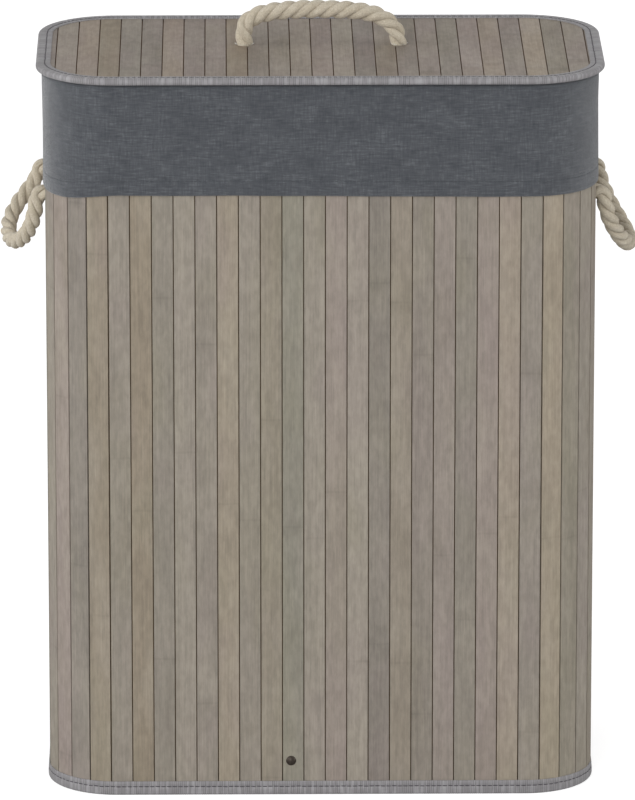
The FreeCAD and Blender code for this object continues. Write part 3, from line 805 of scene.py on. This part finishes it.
def liner_bag():
    """The bag inside: soft upright folds that deepen downwards, and creases over the floor."""
    around, up = 420, 150
    low, high = BAG_FLOOR_Z + 0.5 * MM, BAG_TOP + 6 * MM
    points, lie = [], []
    length = BAG_SECTIONS[0][1].length
    for side in (0.0, LINER_T * 0.8):
        for r in range(up + 1):
            z = low + (high - low) * r / up
            for c in range(around):
                share = c / around
                spot, out = bag_point(share, z)
                s = share * length
                depth = smoothstep(z, high, high - 0.16) * smoothstep(z, low - 5 * MM, low + 30 * MM)
                folds = ripple(s, z, 24, 2.2, 1.3, length) * 3.4 * MM
                folds += ripple(s, z, 9, 4, 6.1, length) * 3.0 * MM
                creases = ripple(s + z * 0.5, z, 30, 26, 4.4, length) * 1.0 * MM
                inward = max(0.0, 1.8 * MM - folds - creases) * depth
                points.append(spot - out * (inward + side))
                lie.append((s, z, 1.0))
    rows = up + 1
    layer = rows * around
    faces = flipped(grid_faces(rows, around, wrap=True)) + grid_faces(rows, around, layer, wrap=True)
    faces += flipped(rim_faces(0, layer, around)) + rim_faces(up * around, layer, around)
    piece = new_piece("liner_bag_cloth", points, faces, LINER, lie)
    settle(piece, "hamper_body", "liner_cloth", "liner_bag_walls")


def disc_cloth(name, outline, z, thickness, material, rumple, rings=46, around=300):
    """A flat cloth cut to an outline, with slight rumples."""
    points, lie = [], []
    for side in (0.0, thickness):
        for r in range(rings + 1):
            share = r / rings
            for c in range(around):
                spot, _ = outline.at(outline.length * c / around)
                spot = spot * share
                up = field.noise(Vector((spot.x * 22, spot.y * 22, 3.3))) * rumple
                up += field.noise(Vector((spot.x * 60, spot.y * 60, 8.3))) * rumple * 0.4
                up *= 1 - smoothstep(share, 0.93, 1.0)
                points.append((spot.x, spot.y, z + side + up))
                lie.append((spot.x, spot.y, 1.0))
    layer = (rings + 1) * around
    faces = flipped(grid_faces(rings + 1, around, wrap=True))
    faces += grid_faces(rings + 1, around, layer, wrap=True) + rim_faces(rings * around, layer, around)
    piece = new_piece(name, points, faces, material, lie)
    mesh = bmesh.new()
    mesh.from_mesh(piece.data)
    bmesh.ops.remove_doubles(mesh, verts=mesh.verts, dist=1e-6)
    bmesh.ops.dissolve_degenerate(mesh, edges=mesh.edges, dist=1e-7)
    mesh.to_mesh(piece.data)
    mesh.free()
    return piece


def liner_floor():
    outline = BAG_SECTIONS[0][1]
    piece = disc_cloth("liner_floor_cloth", outline, BAG_FLOOR_Z, LINER_T * 0.8, LINER, 1.6 * MM)
    settle(piece, "hamper_body", "liner_cloth", "liner_bag_floor")


def lid_lining():
    outline = Outline(LID_HALF_W - TAPE_T, LID_HALF_D - TAPE_T, LID.radius - TAPE_T)
    piece = disc_cloth("lid_lining_sheet", outline, LINING_Z, 0.35 * MM, LINING, 0.25 * MM)
    settle(piece, "lid", "backing_cloth", "lid_lining_cloth")


# ======== ribbons


def ribbon(name, route, aside, width, thickness, material, step=1.5 * MM, across=14):
    """A tape along a route of points, aside being the way that its width runs."""
    line = [Vector(route[0])]
    for a, b in zip(route, route[1:]):
        a, b = Vector(a), Vector(b)
        count = max(1, round((b - a).length / step))
        line += [a.lerp(b, (k + 1) / count) for k in range(count)]
    aside = Vector(aside).normalized()
    points, lie = [], []
    along = 0.0
    for k, spot in enumerate(line):
        ahead = (line[min(k + 1, len(line) - 1)] - line[max(k - 1, 0)]).normalized()
        facing = aside.cross(ahead)
        if k:
            along += (spot - line[k - 1]).length
        for side in (1, -1):
            for c in range(across + 1):
                share = c / across if side > 0 else 1 - c / across
                u = (share - 0.5) * width
                edge = 1 - smoothstep(abs(share - 0.5), 0.42, 0.5) * 0.7
                points.append(spot + aside * u + facing * (side * thickness / 2 * edge))
                lie.append((u, along, 1.0))
    return new_piece(name, points, shell_faces(len(line), 2 * (across + 1)), material, lie)


def lid_hinge():
    """One strip of cloth, sewn outside the rear of the cuff and under the lid, curved between them."""
    lower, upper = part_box("lid_hinge_tape_lower"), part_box("lid_hinge_tape_upper")
    half_x = lower[1].x
    y, z = (lower[0].y + lower[1].y) / 2, (upper[0].z + upper[1].z) / 2
    route = [
        (0, y, lower[0].z), (0, y, z - 6 * MM), (0, y + 0.35 * MM, z - 2.5 * MM),
        (0, y + 0.1 * MM, z - 0.9 * MM), (0, y - 0.8 * MM, z - 0.15 * MM), (0, y - 2.5 * MM, z),
        (0, upper[0].y, z),
    ]
    piece = ribbon("lid_hinge_strip", route, (1, 0, 0), 2 * half_x, 0.5 * MM, HINGE, 1.0 * MM, 110)
    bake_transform(piece)
    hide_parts("lid_hinge_tape_lower", "lid_hinge_tape_upper")
    rolls = random.Random(7)
    for name, body, edge, facing in (
        ("hinge_stitches_body", "hamper_body", lower[0].z, Vector((0, 1, 0))),
        ("hinge_stitches_lid", "lid", upper[0].y, Vector((0, 0, -1))),
    ):
        places = []
        for level in (edge + 3 * MM, edge + 9 * MM):
            for k in range(HINGE_STITCHES):
                x = -half_x + 6 * MM + k * HINGE_PITCH
                there = level + rolls.uniform(-0.15, 0.15) * MM
                middle = (x, there, upper[0].z) if body == "lid" else (x, lower[1].y, there)
                places.append((Vector(middle), Vector((1, 0, 0)), facing))
        settle(stitches(name, places, CUFF_THREAD, 3.2 * MM, 0.55 * MM), body, "hinge_tape")


def inner_tapes():
    """The wall's seam tape, and the base's hinge and strap."""
    low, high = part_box("wall_seam_tape")
    middle = (low + high) / 2
    route = [(middle.x, middle.y, low.z), (middle.x, middle.y, high.z)]
    piece = ribbon("wall_seam_strip", route, (1, 0, 0), high.x - low.x, CLOTH_T, BACKING, 4 * MM)
    settle(piece, "hamper_body", "backing_cloth", "wall_seam_tape")

    low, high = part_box("base_hinge_tape")
    y, z = high.y - CLOTH_T / 2, low.z + CLOTH_T / 2
    route = [(0, y, high.z), (0, y, z + 2 * MM), (0, y - 0.6 * MM, z + 0.6 * MM), (0, y - 2 * MM, z)]
    route.append((0, low.y, z))
    piece = ribbon("base_hinge_strip", route, (1, 0, 0), high.x - low.x, CLOTH_T, HINGE, 1.5 * MM, 60)
    settle(piece, "hamper_body", "hinge_tape", "base_hinge_tape")

    low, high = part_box("base_strap")
    t = 0.6 * MM
    x = (low.x + high.x) / 2
    y, z = low.y + t, low.z + t
    route = [(x, y, high.z), (x, y, z + 3 * MM), (x, y + 0.9 * MM, z + 0.9 * MM), (x, y + 3 * MM, z)]
    route.append((x, high.y, z))
    piece = ribbon("base_pull_strap", route, (1, 0, 0), high.x - low.x, 2 * t, WEBBING, 1.2 * MM)
    settle(piece, "hamper_body", "webbing", "base_strap")


def base_cover():
    """Cloth laid over the base board and turned round its edges."""
    low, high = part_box("base_cover_cloth")
    outline = Outline(high.x, high.y, CORNER_R - 3.5 * MM)
    rings, around = 40, 300
    rows = [(k / rings, high.z) for k in range(rings)]
    rows += [(1.0, z) for z in (high.z - 0.3 * MM, high.z - 1.0 * MM, low.z)]
    points, lie = [], []
    for inset in (0.0, CLOTH_T * 0.9):
        for share, z in rows:
            for c in range(around):
                spot, out = outline.at(outline.length * c / around)
                spot = spot * share - out * (inset if share == 1.0 else 0.0)
                drop = inset if share < 1.0 else 0.0
                points.append((spot.x, spot.y, z - drop))
                lie.append((spot.x, spot.y + (high.z - z), 1.0))
    count = len(rows)
    layer = count * around
    faces = grid_faces(count, around, wrap=True) + flipped(grid_faces(count, around, layer, wrap=True))
    faces += flipped(rim_faces(layer - around, layer, around))
    piece = new_piece("base_cover_sheet", points, faces, LINER, lie)
    settle(piece, "hamper_body", "liner_cloth", "base_cover_cloth")
    drop = high.z - low.z


# ======== ropes


def smooth_line(route):
    """Points along the smooth curve that a route's points control."""
    curve = bpy.data.curves.new("route", "CURVE")
    curve.dimensions = "3D"
    curve.resolution_u = 24
    spline = curve.splines.new("NURBS")
    spline.points.add(len(route) - 1)
    for point, spot in zip(spline.points, route):
        point.co = (*spot, 1.0)
    spline.order_u = 3
    spline.use_endpoint_u = True
    holder = add_object("route", curve)
    mesh = bpy.data.meshes.new_from_object(holder)
    line = [v.co.copy() for v in mesh.vertices]
    bpy.data.objects.remove(holder)
    bpy.data.meshes.remove(mesh)
    bpy.data.curves.remove(curve)
    return line


def even(line, step):
    """The same line with its points a step apart."""
    points, left = [line[0].copy()], step
    for a, b in zip(line, line[1:]):
        span = (b - a).length
        while span >= left and span > 0:
            a = a.lerp(b, left / span)
            points.append(a)
            span = (b - a).length
            left = step
        left -= span
    if (line[-1] - points[-1]).length > step * 0.3:
        points.append(line[-1].copy())
    return points


def carried_frames(line):
    """A direction across the line at each point, turned as little as possible from one to the next."""
    ahead = [(line[min(k + 1, len(line) - 1)] - line[max(k - 1, 0)]).normalized() for k in range(len(line))]
    start = Vector((0, 0, 1)) if abs(ahead[0].z) < 0.9 else Vector((0, 1, 0))
    across = (start - ahead[0] * start.dot(ahead[0])).normalized()
    frames = []
    for way in ahead:
        across = (across - way * across.dot(way)).normalized()
        frames.append((way, across, way.cross(across)))
    return frames


def rope_strands(line, radius, lay, turn=0.0, sides=36, seed=0.0, swell=None):
    """Three strands twisted to the left round a line, each with its yarns twisted to the right."""
    frames = carried_frames(line)
    step = (line[1] - line[0]).length
    offset, thick = radius * 0.49, radius * 0.545
    points, faces, lie = [], [], []
    for strand in range(3):
        centres, ways = [], []
        for k, (spot, (way, across, over)) in enumerate(zip(line, frames)):
            grown = swell(k / (len(line) - 1)) if swell else 1.0
            a = turn + 2 * math.pi * (strand / 3 - k * step / lay)
            radial = across * math.cos(a) + over * math.sin(a)
            centres.append(spot + radial * offset * grown)
            ways.append((radial, grown))
        first = len(points)
        for k, centre in enumerate(centres):
            tangent = (centres[min(k + 1, len(centres) - 1)] - centres[max(k - 1, 0)]).normalized()
            radial, grown = ways[k]
            radial = (radial - tangent * radial.dot(tangent)).normalized()
            aside = tangent.cross(radial)
            s = k * step
            for j in range(sides):
                b = 2 * math.pi * j / sides
                yarn = abs(math.sin(5.5 * (b - 2 * math.pi * s / (lay * 0.9))))
                lump = Vector((s * 170 + seed, math.cos(b) * 1.3 + strand * 7, math.sin(b) * 1.3))
                girth = thick * grown * (0.965 + 0.045 * yarn + 0.05 * field.noise(lump))
                spot = centre + radial * (girth * 1.02 * math.cos(b)) + aside * (girth * math.sin(b))
                points.append(spot)
                out = (spot - line[k]).length / radius
                lie.append((s, b * 3.0 - s * 190.0, smoothstep(out, 0.52, 0.98)))
        faces += tube_faces(len(centres), sides, first)
    return points, faces, lie


def fuzz(name, line, seed):
    """Loose cotton fibres that stand off a rope: thin bent hairs with three sides."""
    rolls = random.Random(seed)
    frames = carried_frames(line)
    points, faces, lie = [], [], []
    for _ in range(HAIRS):
        k = rolls.randrange(2, len(line) - 2)
        way, across, over = frames[k]
        a = rolls.uniform(0, 2 * math.pi)
        radial = across * math.cos(a) + over * math.sin(a)
        aside = way.cross(radial)
        spot = line[k] + radial * ROPE_R * rolls.uniform(0.8, 0.97)
        heading = radial * rolls.uniform(0.25, 1.0)
        heading += way * rolls.uniform(-1, 1) + aside * rolls.uniform(-1, 1)
        heading.normalize()
        bend = (way * rolls.uniform(-1, 1) + aside * rolls.uniform(-1, 1) - radial * 0.6) * 0.5
        long, thick = HAIR_REACH * rolls.uniform(0.35, 1.0), rolls.uniform(0.045, 0.09) * MM
        first = len(points)
        rows = 4
        side = heading.orthogonal().normalized()
        other = heading.cross(side)
        for r in range(rows):
            share = r / (rows - 1)
            centre = spot + (heading * share + bend * share * share) * long
            girth = thick * (1 - 0.6 * share)
            for j in range(3):
                b = 2 * math.pi * j / 3
                points.append(centre + side * (girth * math.cos(b)) + other * (girth * math.sin(b)))
                lie.append((share * 0.01, j * 0.01, 0.9))
        faces += tube_faces(rows, 3, first)
    return new_piece(name, points, faces, ROPE, lie)


def handle(name, route, node, turn, seed, swell=None):
    """A rope handle: its strands and its fuzz, laid along its route, which curves between its holes."""
    line = even(smooth_line(route), ROPE_STEP)
    points, faces, lie = rope_strands(line, ROPE_R, ROPE_LAY, turn, seed=seed, swell=swell)
    rope = new_piece(name, points, faces, ROPE, lie)
    hairs = fuzz(name + "_fuzz", line, seed)
    for piece in (rope, hairs):
        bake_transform(piece)
    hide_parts(node)


def knots(name, centres, axis, body, node, seed):
    """Tight overhand knots, each with a short frayed tail, inside the holes."""
    points, faces, lie = [], [], []
    turn = Vector((0, 0, 1)).rotation_difference(Vector(axis)).to_matrix()
    for k, centre in enumerate(centres):
        line = []
        for j in range(170):
            a = 2 * math.pi * j / 169
            spot = Vector((
                math.sin(a) + 2 * math.sin(2 * a), math.cos(a) - 2 * math.cos(2 * a), -2.1 * math.sin(3 * a),
            ))
            line.append(Vector(centre) + turn @ (spot * 2.75 * MM))
        more = rope_strands(even(line, 0.9 * MM), 4.7 * MM, 22 * MM, k * 1.3, 20, seed + k)
        tail = [Vector(centre) + turn @ Vector((3 * MM, 2 * MM, -(4 + 0.9 * j) * MM)) for j in range(12)]
        end = rope_strands(tail, 5.6 * MM, 26 * MM, k * 0.7, 20, seed + 3 + k)
        for more_points, more_faces, more_lie in (more, end):
            first = len(points)
            points += more_points
            faces += [tuple(i + first for i in face) for face in more_faces]
            lie += more_lie
    settle(new_piece(name, points, faces, ROPE, lie), body, "cotton_rope", node)


def frays():
    """Torn white fibres at the rims of the lid's two holes."""
    rolls = random.Random(23)
    points, faces, lie = [], [], []
    for x in (LID_ROUTE[0][0], LID_ROUTE[-1][0]):
        middle = Vector((x, LID_ROUTE[0][1], LID_SLAT_TOP + 0.3 * MM))
        for k in range(FRAYED_FIBRES):
            a = rolls.uniform(0, 2 * math.pi) if k % 3 == 0 else math.radians(rolls.uniform(185, 300))
            way = Vector((math.cos(a), math.sin(a), rolls.uniform(0.2, 1.1))).normalized()
            spot = middle + Vector((math.cos(a), math.sin(a), 0)) * 6.4 * MM
            long, wide = rolls.uniform(0.9, 2.6) * MM, rolls.uniform(0.2, 0.42) * MM
            aside = way.orthogonal().normalized()
            over = way.cross(aside)
            first = len(points)
            for r, girth in enumerate((0.6, 1.0, 0.8, 0.2)):
                centre = spot + way * (long * r / 3)
                for j in range(5):
                    b = 2 * math.pi * j / 5
                    points.append(centre + (aside * math.cos(b) + over * math.sin(b) * 0.5) * wide * girth)
                    lie.append((r * 0.001, j * 0.001, 1.0))
            faces += tube_faces(4, 5, first)
    settle(new_piece("lid_hole_frays", points, faces, FRAY, lie), "lid", "cotton_rope")


def ropes():
    """The three rope handles, each with its knots. Each is shaped to curve where it comes out of its holes.
    """
    for sign, side, route, length, turn in (
        (-1, "left", LEFT_ROUTE, 0.204, 0.9), (1, "right", RIGHT_ROUTE, 0.212, 2.1),
    ):
        handle(
            side + "_handle_cord", route,
            side + "_handle_rope", turn, 11.0 + sign,
        )
        centres = [(sign * KNOT_X, y, z) for _, y, z in (route[0], route[-1])]
        knots(side + "_knots", centres, (sign, 0, 0), "hamper_body", side + "_rope_knots", 31.0 + sign)

    def swell(share):
        return 1.02 + 0.09 * math.sin(math.pi * share) + 0.03 * math.sin(3 * share + 1.2)

    handle(
        "lid_handle_cord", LID_ROUTE,
        "lid_handle_rope", 0.4, 17.0, swell,
    )
    centres = [(x, y, LID_KNOT_Z) for x, y, _ in (LID_ROUTE[0], LID_ROUTE[-1])]
    knots("lid_knots", centres, (0, 0, 1), "lid", "lid_rope_knots", 41.0)
    frays()


# ======== small parts and staging


def dress_cad_parts():
    """Gives the CAD's slats and hard parts their finishes."""
    looks = {
        "lid_slats": LID_BAMBOO, "base_board": HARDBOARD, "lid_board": HARDBOARD,
        "base_rivet": DARK_RIVET, "wall_rivet": DARK_RIVET, "wall_rivet_washer": STEEL,
        "liner_hook_patches": LOOPS, "liner_loop_patches": LOOPS,
    }
    for name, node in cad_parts.items():
        material = looks.get(name, WALL_BAMBOO if name.endswith("_slats") else None)
        if material:
            node.data.materials.clear()
            node.data.materials.append(material)


def floor_white():
    """A pale floor that looks nearly white, and sends up no more light than a pale floor does."""
    paint = Paint("floor_white", 0.9, 0.1)
    paint.colour((0.6, 0.6, 0.6, 1))
    paint.shader.inputs["Emission Color"].default_value = (1, 1, 1, 1)
    seen = paint.node("LightPath").outputs["Is Camera Ray"]
    paint.feed(paint.shader.inputs["Emission Strength"], paint.times(seen, 0.7))
    return paint.material


def stage():
    """A pale floor, white surroundings, soft lights and the camera."""
    half = 14.0
    corners = [(-half, -half, 0), (half, -half, 0), (half, half, 0), (-half, half, 0)]
    new_piece("floor", corners, [(0, 1, 2, 3)], floor_white())

    world = bpy.data.worlds.new("studio")
    bpy.context.scene.world = world
    world.use_nodes = True
    tree = world.node_tree
    lit = tree.nodes["Background"]
    lit.inputs["Color"].default_value = (1, 1, 1, 1)
    lit.inputs["Strength"].default_value = 0.48
    seen = tree.nodes.new("ShaderNodeBackground")
    seen.inputs["Color"].default_value = (1, 1, 1, 1)
    seen.inputs["Strength"].default_value = 1.0
    path = tree.nodes.new("ShaderNodeLightPath")
    mixed = tree.nodes.new("ShaderNodeMixShader")
    join = tree.links.new
    join(path.outputs["Is Camera Ray"], mixed.inputs[0])
    join(lit.outputs[0], mixed.inputs[1])
    join(seen.outputs[0], mixed.inputs[2])
    join(mixed.outputs[0], tree.nodes["World Output"].inputs["Surface"])

    lights = [
        ("key", (-1.5, -4.3, 2.0), 2.8, 93.0),
        ("left", (-3.8, -0.8, 1.5), 2.2, 47.0),
        ("right", (3.8, -0.8, 1.5), 2.2, 42.0),
        ("rear", (0.9, 4.6, 0.55), 1.6, 20.0),
    ]
    for name, spot, size, power in lights:
        lamp = bpy.data.lights.new(name, "AREA")
        lamp.size = size
        lamp.energy = power
        holder = add_object(name, lamp)
        holder.location = spot
        holder.rotation_euler = (Vector((0, 0, 0.32)) - Vector(spot)).to_track_quat("-Z", "Y").to_euler()

    azimuth, elevation, away = math.radians(0.677), math.radians(15.526), 7.0
    target = Vector((-0.0017, 0, 0.3109))
    level = math.cos(elevation)
    forward = Vector((math.sin(azimuth) * level, math.cos(azimuth) * level, -math.sin(elevation)))
    lens = bpy.data.cameras.new("camera")
    lens.sensor_width = 36.0
    lens.lens = 375.8
    camera = add_object("camera", lens)
    camera.location = target - forward * away
    camera.rotation_euler = forward.to_track_quat("-Z", "Y").to_euler()
    bpy.context.scene.camera = camera
    bpy.context.scene.view_settings.view_transform = "Standard"


stage()
dress_cad_parts()
backing()
lid_binding()
bottom_binding()
top_binding()
cuff()
liner_bag()
liner_floor()
lid_lining()
lid_hinge()
inner_tapes()
base_cover()
ropes()
